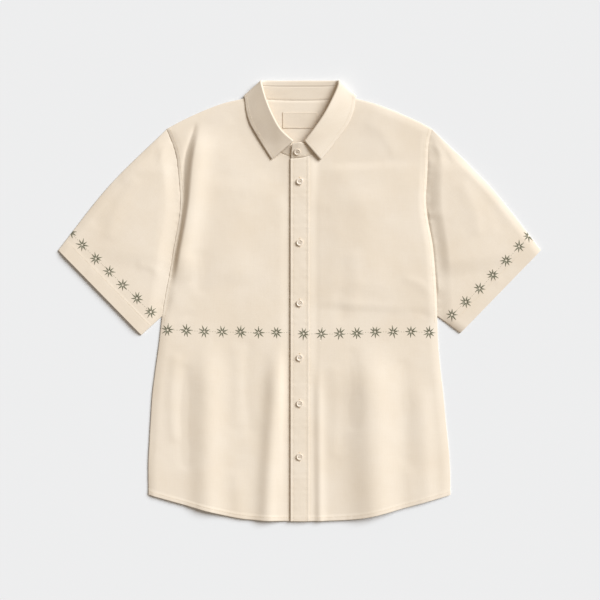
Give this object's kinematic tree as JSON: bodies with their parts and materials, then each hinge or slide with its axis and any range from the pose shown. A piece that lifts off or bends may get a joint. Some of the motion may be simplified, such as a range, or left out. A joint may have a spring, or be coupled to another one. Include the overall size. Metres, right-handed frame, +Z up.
{
  "type": "embroidered short-sleeved shirt laid flat",
  "caption": "Short-sleeved button-up shirt lying flat on its back, with a pointed collar, a placket, a curved hem and soft folds.",
  "frame": {"origin": "middle of the shirt's outline on the surface that it lies on", "axes": "+X to the right as seen from above, +Y from hem to collar, +Z up from the surface"},
  "size_m": [0.8695, 0.7925, 0.02],
  "materials": {
    "cloth": "soft washed plain-weave linen and cotton, matt",
    "label": "fine woven tape, slight sheen",
    "button": "pearly shell",
    "embroidery": "stranded cotton thread, slight sheen"
  },
  "bodies": {
    "root": {"back": "cloth", "front_left": "cloth", "front_right": "cloth", "placket": "cloth", "sleeve_left": "cloth", "sleeve_right": "cloth", "collar_stand": "cloth", "collar_leaf": "cloth", "neck_label": "label", "button_1": "button", "button_2": "button", "button_3": "button", "button_4": "button", "button_5": "button", "button_6": "button", "button_collar": "button"}
  },
  "joints": []
}
